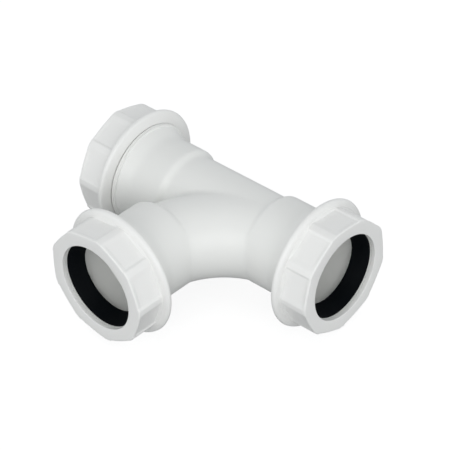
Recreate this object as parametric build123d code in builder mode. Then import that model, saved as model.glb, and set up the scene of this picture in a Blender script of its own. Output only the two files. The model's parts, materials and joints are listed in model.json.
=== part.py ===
from build123d import *
from math import cos, radians, sin, tan
import os

# Swept compression tee for 40 mm waste pipe, in millimetres.
# The run lies along X, the branch points towards -Y and leans back by a few degrees,
# and the swept elbow leads the branch's flow towards the outlet at +X.
# Each port is drawn once in its own frame: Z is the port's axis, pointing out of the
# fitting, and Z = 0 is the front face of its tightened nut.

# ---------------------------------------------------------------- driving dimensions

# Where the ports are
inlet_reach = 62.2  # from the crossing of the axes to the front face of the inlet nut
outlet_reach = 79.9
branch_reach = 78.9
branch_lean = 2.5  # degrees by which the branch is past square, for the fall of a drain

# The moulded body
waterway_r = 18.0  # bore of the run and of the swept elbow
run_wall = 2.15
sweep_r = 52.0  # centreline bend radius of the elbow
barrel_wall = 2.1
barrel_length = 18.6
shoulder_length = 2.6  # cone between a socket and the run or the elbow
bore_cone_length = 3.5  # cone between a socket's bore and the waterway
bore_cone_lead = 0.8  # how much nearer the mouth that cone starts than the one outside

# The mouth of a socket
pipe_entry_r = 21.9  # bore that the pipe slides into
socket_wall = 1.8
seat_widening = 1.2  # of the mouth, where the seal rests
seat_length = 1.8
collar_height = 1.2  # above the crest of the thread
collar_width = 2.0
collar_round = 0.6
collar_step = 1.0  # height of the step behind the collar
pipe_stop_height = 1.7
pipe_stop_setback = 3.9  # from the back of the collar to the stop that an inserted pipe meets
pipe_stop_cover = 2.4  # length of thick wall behind that stop

# Thread, right-hand
thread_pitch = 4.0
thread_depth = 1.2
thread_crest_width = 1.0
thread_root_width = 2.0
thread_foot = 0.3  # how far a turn's foot is buried in its wall
thread_end_gap = 0.3  # plain length left between the last turn and the mouth
thread_runout = 0.4  # how far the nut's thread goes on past the body's
thread_radial_gap = 0.3
thread_axial_gap = 0.3  # on each flank

# Compression nut
nut_length = 18.6
nut_lip = 2.1  # thickness of the front wall
nut_bore_margin = 0.1  # the front wall's hole is this much smaller than the socket's bore
nut_wall = 2.1  # between the thread and the flat of a grip
nut_grips = 9
grip_height = 1.8
grip_top_angle = 12.0  # degrees taken by the top of a grip
grip_slope_angle = 4.0  # degrees taken by the slope from a grip to the next flat
grip_step_angle = 1.5  # degrees taken by the steep side of a grip
face_round = 0.8
flange_height = 3.2  # above the grips
flange_front = 3.6  # length from the flange's front edge to its widest circle
flange_back = 1.8  # length from its widest circle to the back of the nut
mouth_bevel = 1.8  # leads the thread in

# How far round each nut ended when it was tightened, in degrees
inlet_turn = 10.0
outlet_turn = 29.0
branch_turn = 5.0

# Slip ring and seal
stack_gap = 0.1  # left on each side of the slip ring
ring_thickness = 0.9
ring_side_gap = 0.5  # between the ring and the nut's thread
seal_rim_gap = 0.6  # between the seal's rim and the nut's thread
seal_rim_thickness = 2.0
seal_mouth_step = 0.6  # the seal's mouth is this much smaller than the socket's bore
seal_reach = 3.7  # how far the lip reaches in from the socket's bore
seal_length = 8.0
seal_lip_land = 0.8  # straight length of the lip
seal_wall = 1.2  # at the lip
seal_side_gap = 0.1  # between the seal and the socket's bore

# ---------------------------------------------------------------- worked-out sizes

# Radii
run_r = waterway_r + run_wall
barrel_bore_r = pipe_entry_r - pipe_stop_height
barrel_r = barrel_bore_r + barrel_wall
thread_root_r = pipe_entry_r + socket_wall
thread_crest_r = thread_root_r + thread_depth
collar_r = thread_crest_r + collar_height
nut_thread_r = thread_root_r + thread_radial_gap
groove_root_r = thread_crest_r + thread_radial_gap
nut_bore_r = pipe_entry_r - nut_bore_margin
nut_flat_r = groove_root_r + nut_wall
grip_r = nut_flat_r + grip_height
flange_r = grip_r + flange_height
ring_r = nut_thread_r - ring_side_gap
seal_rim_r = nut_thread_r - seal_rim_gap
seal_mouth_r = pipe_entry_r - seal_mouth_step
seal_lip_r = pipe_entry_r - seal_reach

# Depths behind the front face of a tightened nut
ring_depth = nut_lip + stack_gap
seal_depth = ring_depth + ring_thickness + stack_gap
mouth_depth = seal_depth + seal_rim_thickness
seal_lip_depth = seal_depth + seal_length
flange_crest_depth = nut_length - flange_back
flange_depth = flange_crest_depth - flange_front
collar_depth = nut_length + thread_axial_gap
collar_back_depth = collar_depth + collar_width
pipe_stop_depth = collar_back_depth + pipe_stop_setback
barrel_depth = pipe_stop_depth + pipe_stop_cover
socket_depth = barrel_depth + barrel_length
bore_cone_depth = socket_depth - shoulder_length - bore_cone_lead

sweep_tangent = sweep_r * tan(radians((90 - branch_lean) / 2))

# The crossing of the axes, measured from the middle of the footprint
branch_front = branch_reach * cos(radians(branch_lean)) + grip_r * sin(radians(branch_lean))
crossing_x = (inlet_reach - outlet_reach) / 2
crossing_y = (branch_front - flange_r) / 2
crossing_z = flange_r
crossing = Vector(crossing_x, crossing_y, crossing_z)

inlet_way = Vector(-1, 0, 0)
outlet_way = Vector(1, 0, 0)
branch_way = Vector(-sin(radians(branch_lean)), -cos(radians(branch_lean)), 0)


def port_place(way, reach, turn):
    """Location of a port's frame, turned about the port's axis."""
    level = Vector(0, 0, 1).cross(way)
    across = level.rotate(Axis((0, 0, 0), way), turn)
    return Plane(origin=crossing + way * reach, x_dir=across, z_dir=way).location


ports = {
    "inlet": port_place(inlet_way, inlet_reach, inlet_turn),
    "outlet": port_place(outlet_way, outlet_reach, outlet_turn),
    "branch": port_place(branch_way, branch_reach, branch_turn),
}

# Half section of a port: across is the radius, up is out of the fitting
half_section = Plane(origin=(0, 0, 0), x_dir=(1, 0, 0), z_dir=(0, -1, 0))


def thread_section(inner_r, outer_r, inner_width, outer_width, start):
    """Corners of one thread turn's trapezium, with a foot that reaches inwards."""
    flank = (inner_width - outer_width) / 2 / (outer_r - inner_r)
    foot_half = inner_width / 2 + thread_foot * flank
    return [
        (inner_r - thread_foot, start - foot_half),
        (outer_r, start - outer_width / 2),
        (outer_r, start + outer_width / 2),
        (inner_r - thread_foot, start + foot_half),
    ]


# ---------------------------------------------------------------- male thread, on the body

male_start = -collar_depth + thread_root_width
male_end = -mouth_depth - thread_end_gap - thread_root_width / 2

with BuildPart() as male_thread:
    with BuildLine() as male_helix:
        Helix(
            pitch=thread_pitch,
            height=male_end - male_start,
            radius=thread_root_r,
            center=(0, 0, male_start),
        )
    with BuildSketch(half_section):
        with BuildLine():
            Polyline(
                *thread_section(
                    thread_root_r, thread_crest_r, thread_root_width, thread_crest_width, male_start
                ),
                close=True,
            )
        make_face()
    sweep(path=male_helix.wire(), is_frenet=True)

# ---------------------------------------------------------------- female thread, cut in the nut

groove_flank = (thread_root_width - thread_crest_width) / 2 / thread_depth
groove_root_width = thread_crest_width + 2 * thread_axial_gap
groove_mouth_width = groove_root_width + 2 * groove_flank * (groove_root_r - nut_thread_r)
groove_start = male_start - thread_pitch

with BuildPart() as groove:
    with BuildLine() as groove_helix:
        Helix(
            pitch=thread_pitch,
            height=male_end + thread_runout - groove_start,
            radius=nut_thread_r,
            center=(0, 0, groove_start),
        )
    with BuildSketch(half_section):
        with BuildLine():
            Polyline(
                *thread_section(
                    nut_thread_r, groove_root_r, groove_mouth_width, groove_root_width, groove_start
                ),
                close=True,
            )
        make_face()
    sweep(path=groove_helix.wire(), is_frenet=True)

# ---------------------------------------------------------------- compression nut


def ring_point(radius, angle):
    return (radius * cos(radians(angle)), radius * sin(radians(angle)))


grip_angle = 360 / nut_grips
flat_half_angle = (grip_angle - grip_top_angle - grip_slope_angle - grip_step_angle) / 2
flat_end_r = nut_flat_r / cos(radians(flat_half_angle))


def grip_outline():
    """Outline of the stepped grips: each goes up steeply, runs round its top and slopes down."""
    for grip in range(nut_grips):
        ridge_start = -grip * grip_angle
        ridge_end = ridge_start - grip_top_angle
        flat_start = ridge_end - grip_slope_angle
        flat_end = flat_start - 2 * flat_half_angle
        next_ridge = ridge_start - grip_angle
        ThreePointArc(
            ring_point(grip_r, ridge_start),
            ring_point(grip_r, (ridge_start + ridge_end) / 2),
            ring_point(grip_r, ridge_end),
        )
        Line(ring_point(grip_r, ridge_end), ring_point(flat_end_r, flat_start))
        Line(ring_point(flat_end_r, flat_start), ring_point(flat_end_r, flat_end))
        Line(ring_point(flat_end_r, flat_end), ring_point(grip_r, next_ridge))


flange_back_r = flange_r - flange_back

with BuildPart() as nut:
    with BuildSketch():
        with BuildLine():
            grip_outline()
        make_face()
    extrude(amount=-flange_crest_depth)
    # one turned cut rounds the front of all grips
    with BuildSketch(half_section):
        with BuildLine():
            Polyline(
                (grip_r - face_round, 0),
                (grip_r + face_round, 0),
                (grip_r + face_round, -face_round),
                (grip_r, -face_round),
            )
            RadiusArc((grip_r, -face_round), (grip_r - face_round, 0), -face_round)
        make_face()
    revolve(axis=Axis.Z, mode=Mode.SUBTRACT)
    # the flange is a quarter ellipse in front of its widest circle and a quarter circle behind it
    with BuildSketch(half_section):
        with BuildLine():
            Line((nut_thread_r, -flange_depth), (grip_r, -flange_depth))
            EllipticalCenterArc(
                (grip_r, -flange_crest_depth), flange_height, flange_front, start_angle=0, arc_size=90
            )
            RadiusArc((flange_r, -flange_crest_depth), (flange_back_r, -nut_length), flange_back)
            Polyline(
                (flange_back_r, -nut_length), (nut_thread_r, -nut_length), (nut_thread_r, -flange_depth)
            )
        make_face()
    revolve(axis=Axis.Z)
    # the threaded hole, the hole in the front wall and the bevelled mouth
    with BuildSketch(half_section):
        with BuildLine():
            Polyline(
                (0, 0),
                (nut_bore_r, 0),
                (nut_bore_r, -nut_lip),
                (nut_thread_r, -nut_lip),
                (nut_thread_r, -nut_length + mouth_bevel),
                (nut_thread_r + mouth_bevel, -nut_length),
                (0, -nut_length),
                close=True,
            )
        make_face()
    revolve(axis=Axis.Z, mode=Mode.SUBTRACT)
    add(groove.part, mode=Mode.SUBTRACT)

# ---------------------------------------------------------------- slip ring

with BuildPart() as slip_ring:
    with BuildSketch(Plane.XY.offset(-ring_depth)):
        Circle(ring_r)
        Circle(nut_bore_r, mode=Mode.SUBTRACT)
    extrude(amount=-ring_thickness)

# ---------------------------------------------------------------- tapered seal

seal_seat_r = pipe_entry_r + seat_widening - seal_side_gap
seal_side_r = pipe_entry_r - seal_side_gap

with BuildPart() as seal:
    with BuildSketch(half_section):
        with BuildLine():
            Polyline(
                (seal_mouth_r, -seal_depth),
                (seal_rim_r, -seal_depth),
                (seal_rim_r, -mouth_depth),
                (seal_seat_r, -mouth_depth),
                (seal_side_r, -mouth_depth - seat_length),
                (seal_lip_r + seal_wall, -seal_lip_depth),
                (seal_lip_r, -seal_lip_depth),
                (seal_lip_r, -seal_lip_depth + seal_lip_land),
                close=True,
            )
        make_face()
    revolve(axis=Axis.Z)

# ---------------------------------------------------------------- sockets

with BuildPart() as socket_outside:
    with BuildSketch(half_section):
        with BuildLine():
            Polyline(
                (collar_r - collar_round, -collar_depth),
                (thread_root_r, -collar_depth),
                (thread_root_r, -mouth_depth),
                (0, -mouth_depth),
                (0, -socket_depth),
                (run_r, -socket_depth),
                (barrel_r, -socket_depth + shoulder_length),
                (barrel_r, -barrel_depth),
                (collar_r - collar_step, -collar_back_depth),
                (collar_r - collar_round, -collar_back_depth),
            )
            RadiusArc(
                (collar_r - collar_round, -collar_back_depth),
                (collar_r, -collar_back_depth + collar_round),
                -collar_round,
            )
            Line((collar_r, -collar_back_depth + collar_round), (collar_r, -collar_depth - collar_round))
            RadiusArc(
                (collar_r, -collar_depth - collar_round),
                (collar_r - collar_round, -collar_depth),
                -collar_round,
            )
        make_face()
    revolve(axis=Axis.Z)
    add(male_thread.part)

with BuildPart() as socket_bore:
    with BuildSketch(half_section):
        with BuildLine():
            Polyline(
                (0, -mouth_depth),
                (pipe_entry_r + seat_widening, -mouth_depth),
                (pipe_entry_r, -mouth_depth - seat_length),
                (pipe_entry_r, -pipe_stop_depth),
                (barrel_bore_r, -pipe_stop_depth - pipe_stop_height),
                (barrel_bore_r, -bore_cone_depth),
                (waterway_r, -bore_cone_depth - bore_cone_length),
                (0, -bore_cone_depth - bore_cone_length),
                close=True,
            )
        make_face()
    revolve(axis=Axis.Z)

# ---------------------------------------------------------------- tee body

run_start = crossing + inlet_way * (inlet_reach - socket_depth + shoulder_length)
run_length = inlet_reach + outlet_reach - 2 * socket_depth + 2 * shoulder_length
sweep_start = crossing + outlet_way * sweep_tangent
sweep_end = crossing + branch_way * sweep_tangent
run_section = Plane(origin=run_start, x_dir=(0, 1, 0), z_dir=outlet_way)
sweep_section = Plane(origin=sweep_start, x_dir=(0, 1, 0), z_dir=inlet_way)

with BuildLine() as sweep_path:
    TangentArc(sweep_start, sweep_end, tangent=inlet_way)

with BuildPart() as tee_body:
    with BuildSketch(run_section):
        Circle(run_r)
    extrude(amount=run_length)
    with BuildSketch(sweep_section):
        Circle(run_r)
    sweep(path=sweep_path.wire())
    with Locations(*ports.values()):
        add(socket_outside.part)
    with BuildSketch(run_section):
        Circle(waterway_r)
    extrude(amount=run_length, mode=Mode.SUBTRACT)
    with BuildSketch(sweep_section):
        Circle(waterway_r)
    sweep(path=sweep_path.wire(), mode=Mode.SUBTRACT)
    with Locations(*ports.values()):
        add(socket_bore.part, mode=Mode.SUBTRACT)

# ---------------------------------------------------------------- finished pieces

os.makedirs("parts", exist_ok=True)

tee_body.part.label = "tee_body"
export_step(tee_body.part, "parts/tee_body.step")

port_pieces = {"nut": nut, "slip_ring": slip_ring, "seal": seal}
for port_name, place in ports.items():
    for piece_name, piece in port_pieces.items():
        placed = piece.part.moved(place)
        placed.label = f"{port_name}_{piece_name}"
        export_step(placed, f"parts/{placed.label}.step")

print("crossing of the axes", crossing)
for port_name, place in ports.items():
    print(port_name, "port face", place.position)
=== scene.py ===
# %% [markdown]
# # A swept waste tee with three compression joints
#
# The fitting joins three plain waste pipes. One white moulding carries the water, and each of its
# three sockets is closed by a hand-tightened nut that squeezes a tapered rubber seal round the pipe.
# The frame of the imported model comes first, because every piece here stands where that frame says.

# %% Load the frame
import json
import math

import bpy
import numpy as np
from mathutils import Matrix, Vector


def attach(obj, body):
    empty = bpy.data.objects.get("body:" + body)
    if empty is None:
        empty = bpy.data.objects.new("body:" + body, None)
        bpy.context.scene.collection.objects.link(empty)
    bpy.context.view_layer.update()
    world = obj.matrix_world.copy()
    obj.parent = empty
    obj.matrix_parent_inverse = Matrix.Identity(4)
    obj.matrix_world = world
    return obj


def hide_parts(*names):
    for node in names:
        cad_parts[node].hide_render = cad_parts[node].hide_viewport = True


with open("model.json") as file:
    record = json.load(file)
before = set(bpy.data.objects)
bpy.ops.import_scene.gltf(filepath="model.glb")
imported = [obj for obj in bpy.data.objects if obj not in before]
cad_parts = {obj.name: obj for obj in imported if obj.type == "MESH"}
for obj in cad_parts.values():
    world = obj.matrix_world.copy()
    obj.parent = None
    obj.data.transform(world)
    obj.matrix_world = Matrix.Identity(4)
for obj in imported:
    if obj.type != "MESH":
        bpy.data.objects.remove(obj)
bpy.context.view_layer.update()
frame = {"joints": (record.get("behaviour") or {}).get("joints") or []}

# %% [markdown]
# ## Places
#
# Each port is the same joint three times, so a port's pieces are modelled once, standing on the
# origin with +Z out of the fitting and Z = 0 at the front face of the tightened nut. The joints of
# the model say where each port is. Only the angle at which each nut stopped is added, because a
# hand-tightened nut ends wherever the seal is tight.

# %% Find the ports
MM = 0.001
nut_turn = {"inlet": 10, "outlet": 29, "branch": 5}  # degrees
joint_of = {joint["name"]: joint for joint in frame["joints"]}


def port_place(port):
    """Matrix that carries a piece from the origin to a port."""
    spin = joint_of[f"{port}_nut_spin"]
    outward = Vector(spin["axis"])
    level = Vector((0, 0, 1)).cross(outward)
    across = Matrix.Rotation(math.radians(nut_turn[port]), 3, outward) @ level
    place = Matrix((across, outward.cross(across), outward)).transposed().to_4x4()
    place.translation = Vector(spin["pos_m"])
    return place


places = {port: port_place(port) for port in nut_turn}
run_y, run_z = places["inlet"].translation.yz
branch_way = Vector(joint_of["branch_nut_spin"]["axis"])
to_run = (run_y - places["branch"].translation.y) / branch_way.y
crossing = places["branch"].translation + branch_way * to_run
print("the axes cross at", [round(value * 1000, 2) for value in crossing], "mm")

# %% [markdown]
# ## Drawing and turning a section
#
# Nuts, seals, rings and sockets are all round, so each is drawn as a half section and spun, as on a
# lathe. A section is a list of corners, and a rounded corner is a small curve between its two
# sides: moulded plastic has no sharp edge, and the light shows it.


# %% Section helpers
def arc(start, corner, end, steps):
    """Points of a curve that leaves start and reaches end along the two sides of a corner."""
    shares = [step / steps for step in range(steps + 1)]
    return [start * (1 - s) ** 2 + corner * 2 * s * (1 - s) + end * s * s for s in shares]


def rounded(corners, steps=4):
    """Section points in metres from (radius, height, rounding) corners in millimetres."""
    points = []
    for here, (radius, height, rounding) in enumerate(corners):
        corner = Vector((radius, height))
        if rounding == 0:
            points.append(corner)
            continue
        before = Vector(corners[here - 1][:2]) - corner
        after = Vector(corners[(here + 1) % len(corners)][:2]) - corner
        start = corner + before.normalized() * rounding
        end = corner + after.normalized() * rounding
        points += arc(start, corner, end, steps)
    return [point * MM for point in points]


def rows(radius, bottom, top, spacing):
    """Corners up a straight wall, close enough together for a thread to be pressed into it."""
    count = max(1, round(abs(top - bottom) / spacing))
    return [(radius, bottom + (top - bottom) * row / count, 0) for row in range(count + 1)]


# %% Turning
merge_gap = MM / 200
smooth_angle = math.radians(40)


def turned(name, points, columns, closed=True):
    """Spins a section round the Z axis."""
    bpy.ops.object.select_all(action="DESELECT")
    bpy.ops.mesh.primitive_plane_add(size=MM)
    piece = bpy.context.object
    piece.name = name
    bpy.ops.object.mode_set(mode="EDIT")
    bpy.ops.mesh.merge(type="CENTER")
    bpy.ops.transform.translate(value=(points[0].x, 0, points[0].y))
    path = points + points[:1] if closed else points
    for last, point in zip(path, path[1:]):
        step = point - last
        bpy.ops.mesh.extrude_vertices_move(TRANSFORM_OT_translate={"value": (step.x, 0, step.y)})
    bpy.ops.object.mode_set(mode="OBJECT")
    bpy.ops.object.transform_apply()
    lathe = piece.modifiers.new("lathe", "SCREW")
    lathe.steps = lathe.render_steps = columns
    lathe.use_merge_vertices = True
    lathe.merge_threshold = merge_gap
    bpy.ops.object.modifier_apply(modifier=lathe.name)
    bpy.ops.object.mode_set(mode="EDIT")
    bpy.ops.mesh.select_all(action="SELECT")
    bpy.ops.mesh.remove_doubles(threshold=merge_gap)
    bpy.ops.mesh.normals_make_consistent(inside=False)
    bpy.ops.object.mode_set(mode="OBJECT")
    return piece


def reshape(piece, rule):
    """Gives each point of a turned piece the radius that rule(radius, angle, height) says, in mm."""
    points = np.zeros(len(piece.data.vertices) * 3)
    piece.data.vertices.foreach_get("co", points)
    points = points.reshape(-1, 3)
    angle = np.arctan2(points[:, 1], points[:, 0])
    radius = np.hypot(points[:, 0], points[:, 1])
    wanted = rule(radius / MM, angle, points[:, 2] / MM) * MM
    points[:, 0] = wanted * np.cos(angle)
    points[:, 1] = wanted * np.sin(angle)
    piece.data.vertices.foreach_set("co", points.ravel())
    piece.data.update()


def stand_at(piece, place):
    """Moves a piece's mesh, so that its object stays at the origin."""
    piece.data.transform(place)
    piece.data.update()
    return piece


def finish_mesh(piece):
    """Smooth shading, and a line that says how big the mesh is."""
    bpy.ops.object.select_all(action="DESELECT")
    piece.select_set(True)
    bpy.context.view_layer.objects.active = piece
    bpy.ops.object.shade_smooth_by_angle(angle=smooth_angle)
    triangles = sum(len(face.vertices) - 2 for face in piece.data.polygons)
    sides = [round(side * 1000, 1) for side in piece.dimensions]
    print(piece.name, triangles, "triangles,", sides, "mm")


def soft_step(value, low, high):
    """0 below low, 1 above high and smooth between."""
    share = np.clip((value - low) / (high - low), 0, 1)
    return share * share * (3 - 2 * share)


# %% [markdown]
# ## The thread
#
# A coarse right-hand thread pulls the nut down in a few turns. The body's turns stand out of the
# sleeve and the nut's groove is cut round them with a little room. Both could be swept along a
# helix, but then their ends stand up like cut wire. Here the wall is spun with close rows, and each
# point is pressed in or out by how far it is from the nearest turn, so the ends can fade out.

# %% Thread values
pitch = 4.0
thread_depth = 1.2
thread_start = -16.9  # height of the middle of the first turn
thread_end = -6.5
thread_rows = 0.27  # spacing of the rows that a thread is pressed into
fade_turns = 0.12
male_top, male_foot = 0.5, 1.0  # half widths of a turn of the body, at its crest and its foot
groove_top, groove_foot = 0.8, 1.3  # the same for the groove of the nut
same_r = 0.01  # a point this near a radius lies on that wall


def turn_height(angle, height, top_half, foot_half):
    """Share of the thread's full height at a point, from 0 in the valley to 1 on the crest."""
    turns = (height - thread_start) / pitch - angle / math.tau
    off_centre = np.abs(turns - np.round(turns)) * pitch
    return np.clip((foot_half - off_centre) / (foot_half - top_half), 0, 1)


def thread_fade(angle, height):
    """The body's thread rises and fades over a short stretch at each end."""
    turns = np.round((height - thread_start) / pitch - angle / math.tau) + angle / math.tau
    last = (thread_end - thread_start) / pitch
    return soft_step(turns, 0, fade_turns) * (1 - soft_step(turns, last - fade_turns, last))


# %% [markdown]
# ## Compression nut
#
# The nut is a ring with a lip in front, a thread inside, a rounded flange at its foot and nine
# stepped grips. Going clockwise, each grip rises steeply, runs round its top and slopes down to a
# flat, so a hand gets hold of the steps when it tightens. The ring is turned at the radius of the
# grip tops first. The flats are then pressed in, with soft edges. The press is weaker at the front
# rim, which stays rounder, and it fades out in front of the flange.

# %% Nut values
nut_columns = 720
nut_length = 18.6
nut_bore_r = 21.8
nut_thread_r = 24.0
nut_lip = 2.1
face_round = 0.8
grip_count = 9
grip_r = 29.1
flat_r = 27.5
grip_top, grip_slope, grip_step = (math.radians(angle) for angle in (6.5, 4.5, 1.5))
grip_soft = math.radians(0.7)
grip_wall = 1.3  # points nearer to the grips' radius than this belong to the outer wall
rim_share = 0.62  # of the full press that reaches the front face
rim_start, rim_end = 0.8, 2.6  # depths between which the press grows to the full
press_start, press_end = 14.0, 14.7  # depths between which it fades out
flange_r = 32.3
flange_crest = 16.8  # depth of the flange's widest circle
flange_fall = 0.7  # the back of the flange slopes forward by this much
mouth_bevel = 1.8
bevel_land = 0.3  # flat left between the bevel and the back of the flange
groove_start, groove_full = 4.2, 4.8  # depths between which the groove grows


# %% Grip outline
def grip_outline(angle):
    """Radius of the sharp outline at an angle."""
    grip = math.tau / grip_count
    flat = grip - grip_top - grip_slope - grip_step
    along = np.mod(-angle, grip)
    flat_edge = flat_r / math.cos(flat / 2)
    flat_middle = grip_top + grip_slope + flat / 2
    chord = flat_r / np.cos(np.clip(along - flat_middle, -flat / 2, flat / 2))
    corner_angles = [0, grip_top, grip_top + grip_slope, grip - grip_step, grip]
    corner_radii = [grip_r, grip_r, flat_edge, flat_edge, grip_r]
    straight = np.interp(along, corner_angles, corner_radii)
    return np.where(np.abs(along - flat_middle) < flat / 2, chord, straight)


def soft_outline(angle):
    """The outline averaged over a small angle, which rounds its corners."""
    shifts = np.linspace(-grip_soft, grip_soft, 9)
    return sum(grip_outline(angle + shift) for shift in shifts) / len(shifts)


def nut_rule(radius, angle, height):
    """Presses the flats and cuts the thread."""
    depth = -height
    outer = radius > grip_r - grip_wall
    rim = rim_share + (1 - rim_share) * soft_step(depth, rim_start, rim_end)
    press = rim * (1 - soft_step(depth, press_start, press_end))
    pressed = radius + np.where(outer, press * (soft_outline(angle) - grip_r), 0)
    groove = thread_depth * turn_height(angle, height, groove_top, groove_foot)
    groove = groove * soft_step(depth, groove_start, groove_full)
    bevel = np.maximum(0, depth - nut_length + mouth_bevel)
    threaded = np.abs(radius - nut_thread_r) < same_r
    return pressed + np.where(threaded, np.maximum(groove, bevel), 0)


# %% Turn one nut
def nut_section():
    """Half section of the nut: face, outer wall, flange, back, threaded hole and lip."""
    face = [(nut_bore_r, 0, 0.35), (grip_r, 0, face_round)]
    wall = rows(grip_r, -1, -rim_end, 0.4) + rows(grip_r, -rim_end, -press_start, 3)[1:]
    wall += rows(grip_r, -press_start, -press_end, 0.1)[1:]
    start, crest = Vector((grip_r, -press_end)), Vector((flange_r, -flange_crest))
    sweep = [(p.x, p.y, 0) for p in arc(start, Vector((crest.x, start.y)), crest, 12)[1:]]
    foot = [
        (flange_r, -nut_length + flange_fall, 1.4),
        (nut_thread_r + mouth_bevel + bevel_land, -nut_length, 0),
    ]
    hole = rows(nut_thread_r, -nut_length + 0.05, -nut_lip, thread_rows)
    lip = [(nut_bore_r, -nut_lip, 0.25)]
    return rounded(face + wall + sweep + foot + hole + lip, steps=5)


pattern_nut = turned("pattern_nut", nut_section(), nut_columns)
reshape(pattern_nut, nut_rule)
finish_mesh(pattern_nut)

# %% [markdown]
# The three nuts come out of one mould, so the pattern is copied, each copy with its own mesh, and
# the pattern itself is thrown away. Each nut rides on its own body, which turns and slides.


# %% Place copies
def copies(pattern, kind, node_kind, body_kind):
    """One copy of a pattern at each port, in the place of that port's node."""
    made = []
    for port, place in places.items():
        piece = pattern.copy()
        piece.data = pattern.data.copy()
        piece.name = f"{port}_{kind}"
        bpy.context.collection.objects.link(piece)
        stand_at(piece, place)
        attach(piece, body_kind.format(port=port))
        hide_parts(f"{port}_{node_kind}")
        made.append(piece)
    bpy.data.objects.remove(pattern)
    print(len(made), kind, "pieces placed")
    return made


nuts = copies(pattern_nut, "compression_nut", "nut", "{port}_nut")

# %% [markdown]
# ## Tapered seal
#
# The seal is a soft black ring. Its rim lies between the slip ring and the mouth of the socket, and
# its long tapered lip reaches in and closes round the pipe. The inside is one straight cone with a
# short land at the lip. The outside follows the widened seat, then narrows away from the bore.

# %% Seal
ring_columns = 240
seal_section = rounded([
    (21.3, -3.2, 0.25),
    (23.4, -3.2, 0.3),
    (23.4, -5.2, 0.3),
    (23.0, -5.2, 0.15),
    (21.8, -7.0, 0.4),
    (19.4, -11.2, 0.35),
    (18.2, -11.2, 0.3),
    (18.2, -10.4, 0.5),
])
pattern_seal = turned("pattern_seal", seal_section, ring_columns)
finish_mesh(pattern_seal)
seals = copies(pattern_seal, "tapered_seal", "seal", "fitting")

# %% [markdown]
# ## Slip ring
#
# A thin hard ring lies between nut and seal, so that the turning nut slides on it and does not drag
# the rubber round. It is a flat washer with eased edges.

# %% Ring
ring_section = rounded([
    (21.8, -2.2, 0.2),
    (23.5, -2.2, 0.2),
    (23.5, -3.1, 0.2),
    (21.8, -3.1, 0.2),
])
pattern_ring = turned("pattern_ring", ring_section, ring_columns)
finish_mesh(pattern_ring)
rings = copies(pattern_ring, "slip_washer", "slip_ring", "{port}_ring")

# %% [markdown]
# ## Tee body, the middle
#
# The middle of the moulding is a straight run, an elbow that sweeps from the branch into the
# outlet, and the shoulders where the wider sockets start. Where the run and the elbow meet, the
# mould leaves a soft crease. A boolean union gives a hard, untidy seam there. Instead the closed
# shapes are joined and remeshed in small voxels, which melts them into one skin, and the crease
# alone is then smoothed. The waterway is made the same way and turned inside out.

# %% Body values
run_r = 20.15
waterway_r = 18.0
sweep_r = 52.0
barrel_r = 22.3
barrel_bore_r = 20.2
socket_end = -45.8
shoulder = 2.6
bore_cone_start = -42.4
bore_cone_end = -45.9
cut_height = -33.0
weld_height = -32.0
plug_top = -28.5
plug_columns = 160
elbow_steps = 120
run_length = 64.0
outside_voxel = 0.9
waterway_voxel = 1.2
crease_reach = 3.0
outlet_way = Vector((1, 0, 0))
bend = math.pi - outlet_way.angle(branch_way)
sweep_start = crossing + outlet_way * sweep_r * MM * math.tan(bend / 2)
bend_centre = sweep_start - Vector((0, sweep_r * MM, 0))
print("the elbow turns", round(math.degrees(bend), 1), "degrees round", bend_centre)


# %% Closed shapes for the middle
def elbow(radius):
    """A closed bend, a disc spun round the bend's centre."""
    bpy.ops.object.select_all(action="DESELECT")
    bpy.ops.mesh.primitive_circle_add(
        vertices=plug_columns, radius=radius * MM, fill_type="NGON",
        location=sweep_start, rotation=(0, math.pi / 2, 0),
    )
    bpy.ops.object.transform_apply()
    bpy.ops.object.mode_set(mode="EDIT")
    bpy.ops.mesh.select_all(action="SELECT")
    bpy.ops.mesh.spin(steps=elbow_steps, angle=-bend, center=bend_centre, axis=(0, 0, 1))
    bpy.ops.object.mode_set(mode="OBJECT")
    return bpy.context.object


def run(radius):
    """A closed straight tube that ends inside the two sockets of the run."""
    bpy.ops.object.select_all(action="DESELECT")
    bpy.ops.mesh.primitive_cylinder_add(
        vertices=plug_columns, radius=radius * MM, depth=run_length * MM,
        location=(0, run_y, run_z), rotation=(0, math.pi / 2, 0),
    )
    bpy.ops.object.transform_apply()
    return bpy.context.object


def plugs(corners):
    """A closed turned shape in each socket."""
    made = []
    for place in places.values():
        plug = turned("plug", rounded(corners), plug_columns)
        made.append(stand_at(plug, place))
    return made


def fused(name, parts, voxel):
    """Joins closed shapes and melts them into one skin."""
    bpy.ops.object.select_all(action="DESELECT")
    for part in parts:
        part.select_set(True)
    bpy.context.view_layer.objects.active = parts[0]
    bpy.ops.object.join()
    skin = bpy.context.object
    skin.name = name
    melt = skin.modifiers.new("melt", "REMESH")
    melt.mode = "VOXEL"
    melt.voxel_size = voxel * MM
    bpy.ops.object.modifier_apply(modifier=melt.name)
    return skin


outside_plug = [
    (0, plug_top, 0),
    (barrel_r, plug_top, 0),
    (barrel_r, socket_end + shoulder, 0.2),
    (run_r, socket_end, 0.2),
    (0, socket_end, 0),
]
bore_plug = [
    (0, plug_top, 0),
    (barrel_bore_r, plug_top, 0),
    (barrel_bore_r, bore_cone_start, 0.5),
    (waterway_r, bore_cone_end, 0.5),
    (0, bore_cone_end, 0),
]
outside = fused("outside", [elbow(run_r), run(run_r), *plugs(outside_plug)], outside_voxel)
waterway = fused("waterway", [elbow(waterway_r), run(waterway_r), *plugs(bore_plug)], waterway_voxel)
for skin in (outside, waterway):
    size = [round(side / MM, 1) for side in skin.dimensions]
    print(skin.name, size, len(skin.data.polygons), "faces")


# %% Soften the crease
full_share = 1.3
crease_fade_start, crease_fade_end = 12, 26  # along X, in front of the outlet's socket
overall_rounds = 2


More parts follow.
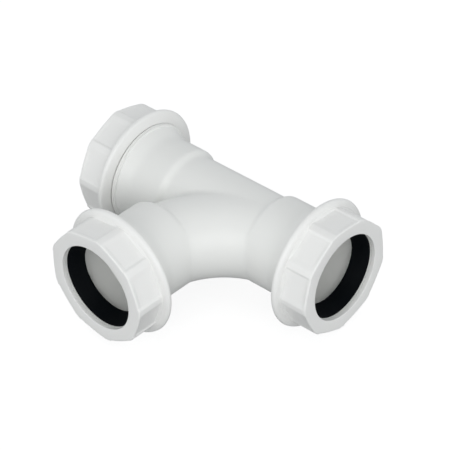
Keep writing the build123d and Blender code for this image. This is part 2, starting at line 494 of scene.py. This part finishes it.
def soften(skin, tube_r, rounds):
    """Smooths a skin lightly all over, and strongly where the run and the elbow meet."""
    points = np.zeros(len(skin.data.vertices) * 3)
    skin.data.vertices.foreach_get("co", points)
    x, y, z = (points.reshape(-1, 3) / MM).T
    off_run = np.abs(np.hypot(y - run_y / MM, z - run_z / MM) - tube_r)
    round_bend = np.hypot(x - bend_centre.x / MM, y - bend_centre.y / MM) - sweep_r
    off_elbow = np.abs(np.hypot(round_bend, z - run_z / MM) - tube_r)
    near = np.clip(full_share - np.maximum(off_run, off_elbow) / crease_reach, 0, 1)
    weight = near * (1 - soft_step(x, crease_fade_start, crease_fade_end))
    crease = skin.vertex_groups.new(name="crease")
    for vertex, share in enumerate(weight):
        if share > 0:
            crease.add([vertex], float(share), "REPLACE")
    bpy.context.view_layer.objects.active = skin
    for group, count in (("crease", rounds), ("", overall_rounds)):
        smooth = skin.modifiers.new("smooth", "SMOOTH")
        smooth.factor = 0.5
        smooth.iterations = count
        smooth.vertex_group = group
        bpy.ops.object.modifier_apply(modifier=smooth.name)


soften(outside, run_r, rounds=24)
soften(waterway, waterway_r, rounds=6)

# %% [markdown]
# ## Tee body, the sockets
#
# Each socket starts where the middle is cut off square. Outside it flares up to a collar with two
# fine beads, then drops to the threaded sleeve. At the mouth the bore opens into the seat of the
# seal. Inside, the wide bore ends at a sloped stop, where an inserted pipe comes to rest.


# %% Turn one socket
sleeve_r = 23.7
socket_columns = 180


def socket_section():
    """The wall of a socket, from the weld outside, over the mouth, to the weld inside."""
    flare = [(barrel_r, weld_height, 0), (barrel_r, -27.2, 2.2), (25.1, -20.9, 0.3)]
    collar = [(26.1, -20.9, 0.3), (26.1, -20.1, 0.15), (25.8, -19.9, 0.1), (26.1, -19.7, 0.15)]
    sleeve = [(26.1, -18.9, 0.15)] + rows(sleeve_r, -18.9, -5.6, thread_rows)
    sleeve += [(sleeve_r, -5.2, 0.25)]
    mouth = [(23.1, -5.2, 0.2), (21.9, -7.0, 0.3), (21.9, -24.8, 0.2)]
    bore = [(barrel_bore_r, -26.5, 0.3), (barrel_bore_r, weld_height, 0)]
    return rounded(flare + collar + sleeve + mouth + bore)


def socket_rule(radius, angle, height):
    """Presses the thread out of the sleeve."""
    turn = thread_depth * turn_height(angle, height, male_top, male_foot)
    turn = turn * thread_fade(angle, height)
    return radius + np.where(np.abs(radius - sleeve_r) < same_r, turn, 0)


pattern_socket = turned("pattern_socket", socket_section(), socket_columns, closed=False)
reshape(pattern_socket, socket_rule)


# %% Cut the middle square
def trim(skin):
    """Cuts a skin off square in each socket."""
    bpy.ops.object.select_all(action="DESELECT")
    bpy.context.view_layer.objects.active = skin
    skin.select_set(True)
    bpy.ops.object.mode_set(mode="EDIT")
    for place in places.values():
        bpy.ops.mesh.select_all(action="SELECT")
        bpy.ops.mesh.bisect(
            plane_co=place @ Vector((0, 0, cut_height * MM)),
            plane_no=place.to_3x3() @ Vector((0, 0, 1)),
            clear_outer=True,
        )
    bpy.ops.object.mode_set(mode="OBJECT")


trim(outside)
trim(waterway)
waterway.data.flip_normals()

# %% [markdown]
# The sockets are welded on by bridging the open edges, outside to outside and inside to inside. A
# bridge needs exactly two loops, so each pair is picked by its height and its radius in the port.


# %% Weld the sockets on
def read(mesh_part, name, width, kind):
    """An array with one attribute of every vertex, edge or corner of a mesh."""
    values = np.zeros(len(mesh_part) * width, kind)
    mesh_part.foreach_get(name, values)
    return values.reshape(-1, width) if width > 1 else values


def open_edges(piece):
    """A mark for each edge that doesn't lie between two faces."""
    count = np.zeros(len(piece.data.edges), int)
    np.add.at(count, read(piece.data.loops, "edge_index", 1, int), 1)
    return count != 2


weld_reach = 1.0


def weld(body, place, low, high):
    """Bridges the two open loops of a socket whose radius is between low and high."""
    back = np.array(place.inverted())
    points = read(body.data.vertices, "co", 3, float) @ back[:3, :3].T + back[:3, 3]
    radius = np.hypot(points[:, 0], points[:, 1]) / MM
    middle = (cut_height + weld_height) / 2
    near = (radius > low) & (radius < high) & (np.abs(points[:, 2] / MM - middle) < weld_reach)
    ends = read(body.data.edges, "vertices", 2, int)
    chosen = open_edges(body) & near[ends[:, 0]] & near[ends[:, 1]]
    body.data.edges.foreach_set("select", chosen)
    print("welding a loop of", int(chosen.sum()), "edges")
    bpy.ops.object.mode_set(mode="EDIT")
    bpy.ops.mesh.bridge_edge_loops()
    bpy.ops.mesh.select_all(action="DESELECT")
    bpy.ops.object.mode_set(mode="OBJECT")


sockets = []
for port, place in places.items():
    socket = pattern_socket.copy()
    socket.data = pattern_socket.data.copy()
    bpy.context.collection.objects.link(socket)
    sockets.append(stand_at(socket, place))
bpy.data.objects.remove(pattern_socket)
bpy.ops.object.select_all(action="DESELECT")
for part in [outside, waterway, *sockets]:
    part.select_set(True)
bpy.context.view_layer.objects.active = outside
bpy.ops.object.join()
body = bpy.context.object
body.name = "tee_moulding"
bpy.ops.object.mode_set(mode="EDIT")
bpy.ops.mesh.select_mode(type="EDGE")
bpy.ops.mesh.select_all(action="DESELECT")
bpy.ops.object.mode_set(mode="OBJECT")
wall_r = (barrel_r + barrel_bore_r) / 2
for place in places.values():
    weld(body, place, wall_r, barrel_r + weld_reach)
    weld(body, place, barrel_bore_r - weld_reach, wall_r)
finish_mesh(body)
print("edges without two faces:", int(open_edges(body).sum()))
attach(body, "fitting")
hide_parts("tee_body")

# %% [markdown]
# ## White plastic
#
# The body and the nuts are white polypropylene: a satin gloss, a trace of warmth that only shows
# where light bounces about inside the bores, and a very fine texture from the steel of the mould.
# Gloss and tone vary a little and slowly, as melt does when it cools. Nothing here is painted on.


# %% Material helpers
tone_waves = 45
gloss_waves = 140
texture_strength = 0.5


def noise(nodes, links, where, scale, detail):
    """A noise pattern fixed to the piece, with so many waves to a metre."""
    pattern = nodes.new("ShaderNodeTexNoise")
    pattern.inputs["Scale"].default_value = scale
    pattern.inputs["Detail"].default_value = detail
    links.new(where.outputs["Object"], pattern.inputs["Vector"])
    return pattern.outputs["Fac"]


def ramp(nodes, links, fac, low, high, span=(0.3, 0.7)):
    """A colour or grey that goes from low to high over the middle of a pattern."""
    blend = nodes.new("ShaderNodeValToRGB")
    for stop, place, value in zip(blend.color_ramp.elements, span, (low, high)):
        stop.position = place
        stop.color = (*value, 1)
    links.new(fac, blend.inputs["Fac"])
    return blend.outputs["Color"]


def moulded(name, tone, tone_low, gloss, texture, depth):
    """A moulded finish: tone, gloss range, waves of fine texture to a metre and its depth."""
    material = bpy.data.materials.new(name)
    material.use_nodes = True
    nodes, links = material.node_tree.nodes, material.node_tree.links
    shader = nodes["Principled BSDF"]
    where = nodes.new("ShaderNodeTexCoord")
    slow = noise(nodes, links, where, tone_waves, 3)
    links.new(ramp(nodes, links, slow, tone_low, tone), shader.inputs["Base Color"])
    flow = noise(nodes, links, where, gloss_waves, 4)
    low, high = ((value,) * 3 for value in gloss)
    links.new(ramp(nodes, links, flow, low, high), shader.inputs["Roughness"])
    bump = nodes.new("ShaderNodeBump")
    bump.inputs["Strength"].default_value = texture_strength
    bump.inputs["Distance"].default_value = depth * MM
    links.new(noise(nodes, links, where, texture, 2), bump.inputs["Height"])
    links.new(bump.outputs["Normal"], shader.inputs["Normal"])
    return material


# %% Body and nut plastic
body_white = moulded(
    "body_white",
    tone=(0.87, 0.875, 0.85),
    tone_low=(0.862, 0.867, 0.843),
    gloss=(0.34, 0.4),
    texture=1800,
    depth=0.004,
)
nut_white = moulded(
    "nut_white",
    tone=(0.9, 0.9, 0.88),
    tone_low=(0.892, 0.892, 0.872),
    gloss=(0.3, 0.38),
    texture=1500,
    depth=0.004,
)
print("made", body_white.name, "and", nut_white.name)

# %% [markdown]
# ## Ring plastic and seal rubber
#
# The grip rings are a duller, more open plastic without pigment, so they are a little greyer and
# rougher than the nuts. The seals are black rubber. Rubber shines much less than plastic does, so
# its mirror shine is turned almost off, and its texture is the coarsest of the four.

# %% Ring plastic and seal rubber
ring_natural = moulded(
    "ring_natural",
    tone=(0.8, 0.81, 0.78),
    tone_low=(0.78, 0.79, 0.76),
    gloss=(0.45, 0.55),
    texture=2200,
    depth=0.01,
)
seal_black = moulded(
    "seal_black",
    tone=(0.004, 0.005, 0.006),
    tone_low=(0.002, 0.003, 0.004),
    gloss=(0.5, 0.62),
    texture=2600,
    depth=0.02,
)
rubber = seal_black.node_tree.nodes["Principled BSDF"]
rubber.inputs["Specular IOR Level"].default_value = 0.04
print("made", ring_natural.name, "and", seal_black.name)

# %% Put the finishes on
finishes = [
    (nuts, nut_white),
    (seals, seal_black),
    (rings, ring_natural),
    ([body], body_white),
]
for pieces, material in finishes:
    for piece in pieces:
        piece.data.materials.clear()
        piece.data.materials.append(material)
    print(material.name, "on", len(pieces), "pieces")

# %% [markdown]
# ## Table
#
# The fitting stands on the three nuts on a white table. A lit table would throw light up under the
# nuts and lose their lower edges, so this one glows by itself, and its light is kept off the
# fitting: the fitting sees the room below it instead. Its own grey still takes the soft shadow.

# %% Table
floor_size = 4.0
table_glow = 0.8
bpy.ops.mesh.primitive_plane_add(size=floor_size, location=(0, 0, 0))
table = bpy.context.object
table.name = "table"
table_white = moulded(
    "table_white",
    tone=(0.32, 0.32, 0.32),
    tone_low=(0.3, 0.3, 0.3),
    gloss=(0.7, 0.8),
    texture=300,
    depth=0.05,
)
table_shader = table_white.node_tree.nodes["Principled BSDF"]
table_shader.inputs["Emission Color"].default_value = (1, 1, 1, 1)
table_shader.inputs["Emission Strength"].default_value = table_glow
table.data.materials.append(table_white)
table.visible_diffuse = False
table.visible_glossy = False
print("table", floor_size, "m wide, glow", table_glow)

# %% [markdown]
# ## Room
#
# A white object on a white ground is drawn by the room it mirrors. The room is brightest at the
# height of the eye, dimmer overhead and darkest below, so upright walls are light and every face
# that looks down or leans back goes grey. A ramp over the height of the direction gives that.

# %% Room
room_bands = [(0.2, 0.22), (0.38, 0.48), (0.5, 0.93), (0.62, 0.93), (0.85, 0.55)]
room_tint = (0.96, 0.98, 1.0)
world = bpy.data.worlds.new("room")
bpy.context.scene.world = world
world.use_nodes = True
nodes, links = world.node_tree.nodes, world.node_tree.links
sky = nodes.new("ShaderNodeTexCoord")
split = nodes.new("ShaderNodeSeparateXYZ")
links.new(sky.outputs["Generated"], split.inputs[0])
level = nodes.new("ShaderNodeMapRange")
level.inputs["From Min"].default_value = -1
links.new(split.outputs["Z"], level.inputs["Value"])
walls = nodes.new("ShaderNodeValToRGB")
for place, value in room_bands:
    stop = walls.color_ramp.elements.new(place)
    stop.color = (*(value * share for share in room_tint), 1)
walls.color_ramp.elements.remove(walls.color_ramp.elements[0])
walls.color_ramp.elements.remove(walls.color_ramp.elements[-1])
links.new(level.outputs["Result"], walls.inputs["Fac"])
links.new(walls.outputs["Color"], nodes["Background"].inputs["Color"])
print("room with", len(walls.color_ramp.elements), "bands of light")

# %% [markdown]
# ## Lights
#
# Two broad soft lights stand in front, one to the right and one to the left. Each one looks into a
# mouth that faces it, so the seal and the grip ring inside can be seen, and neither leaves a hard
# shadow.


# %% Lights
def soft_light(name, toward, distance, size, power):
    """A square light that looks at the crossing of the axes from a direction."""
    lamp = bpy.data.lights.new(name, "AREA")
    lamp.size = size
    lamp.energy = power
    light = bpy.data.objects.new(name, lamp)
    bpy.context.collection.objects.link(light)
    light.location = crossing + Vector(toward).normalized() * distance
    light.rotation_euler = Vector(toward).to_track_quat("Z", "Y").to_euler()
    print(name, "at", round(distance, 2), "m, power", power, "W")


light_distance = 1.4
light_size = 0.8
soft_light("right_light", (0.87, -0.42, 0.52), light_distance, light_size, 3.2)
soft_light("left_light", (0.38, -0.88, 0.52), light_distance, light_size, 3.6)

# %% [markdown]
# ## Camera
#
# The fitting is seen from its front right and well above, through a long lens, so that parallel
# edges stay nearly parallel. The camera leans a little to one side, as one held by hand does.


# %% Camera
camera_azimuth = math.radians(42.5)
camera_elevation = math.radians(39.0)
camera_roll = math.radians(-1.8)
camera_distance = 1.0403
camera_aim = crossing + Vector((6.8, -0.7, -6.3)) * MM
camera_data = bpy.data.cameras.new("camera")
camera_data.lens = 174.5
camera_data.sensor_width = 36
camera = bpy.data.objects.new("camera", camera_data)
bpy.context.collection.objects.link(camera)
flat = math.cos(camera_elevation)
sideways = math.sin(camera_azimuth) * flat
forwards = -math.cos(camera_azimuth) * flat
back = Vector((sideways, forwards, math.sin(camera_elevation)))
camera.location = camera_aim + back * camera_distance
camera.rotation_mode = "QUATERNION"
roll = Matrix.Rotation(camera_roll, 3, "Z").to_quaternion()
camera.rotation_quaternion = back.to_track_quat("Z", "Y") @ roll
bpy.context.scene.camera = camera
bpy.context.scene.view_settings.view_transform = "Standard"
bpy.context.scene.view_settings.look = "None"
print("camera at", [round(value, 3) for value in camera.location])
